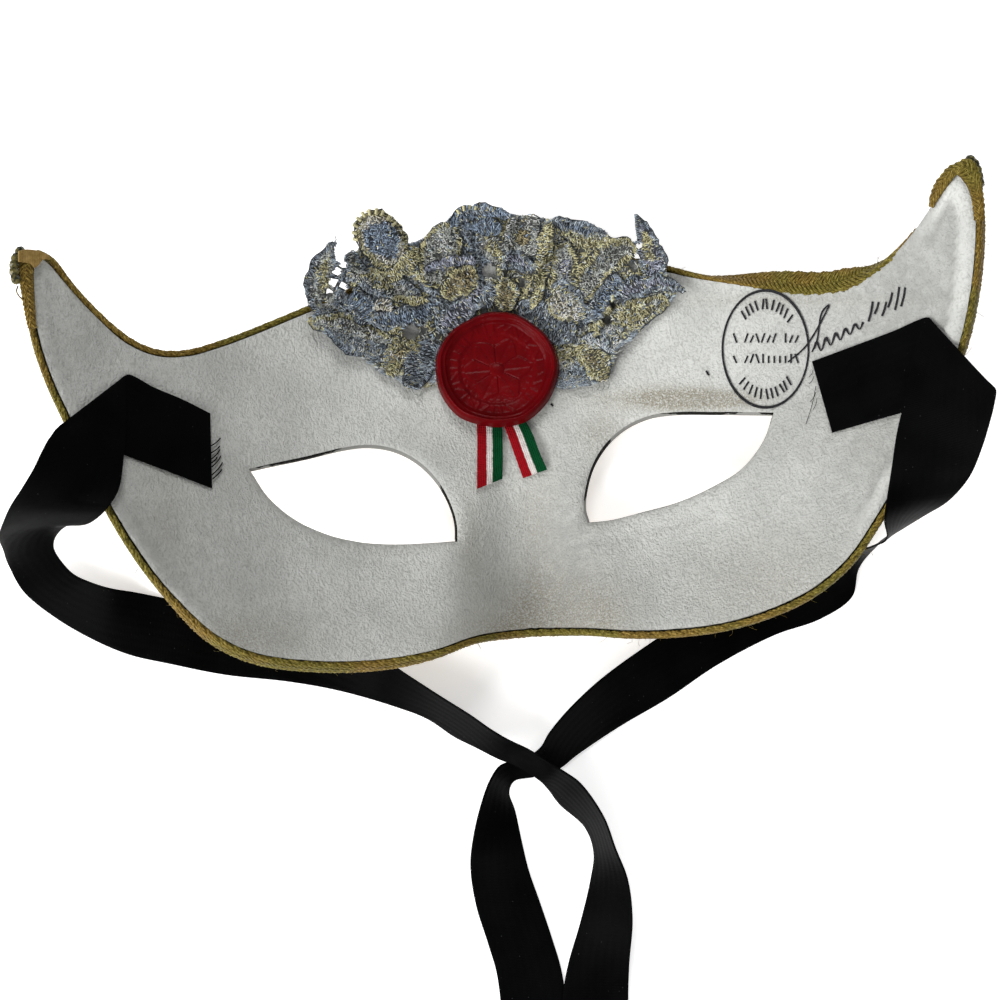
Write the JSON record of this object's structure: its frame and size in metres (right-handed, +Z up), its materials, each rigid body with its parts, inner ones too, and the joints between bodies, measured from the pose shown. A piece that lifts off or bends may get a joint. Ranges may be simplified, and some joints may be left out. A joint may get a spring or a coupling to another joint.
{
  "type": "venetian mask",
  "caption": "Horned half mask lying on its front, hollow white inside up, with rim braid, lace fan, wax seal and knotted black tie ribbons.",
  "frame": {"origin": "under the middle of the mask on the table it lies on, ribbons left out", "axes": "+X along the span of the horns, to the right as the hollow side is seen; +Y towards the horns and the top edge; +Z up, out of the hollow"},
  "size_m": [0.2366, 0.2439, 0.0527],
  "materials": {
    "shell_white": "papier-mache with a white, pebbled and lightly stained ground inside, gold and pale blue paint outside",
    "braid_gold": "dull gold twisted gimp braid",
    "lace_thread": "slate blue, ivory and metallic gold thread",
    "wax_red": "glossy dark red sealing wax",
    "ribbon_tricolour": "narrow red, white and green striped ribbon",
    "satin_black_left": "black satin",
    "satin_black_right": "black satin",
    "bead_left": "faceted, lacquered greenish gold",
    "bead_right": "faceted, lacquered greenish gold"
  },
  "bodies": {
    "root": {"mask_shell": "shell_white", "edge_braid": "braid_gold", "lace_fan": "lace_thread", "wax_seal": "wax_red", "seal_ribbon": "ribbon_tricolour", "ribbon_left": "satin_black_left", "ribbon_right": "satin_black_right", "tip_beads_left": "bead_left", "tip_beads_right": "bead_right"}
  },
  "joints": []
}
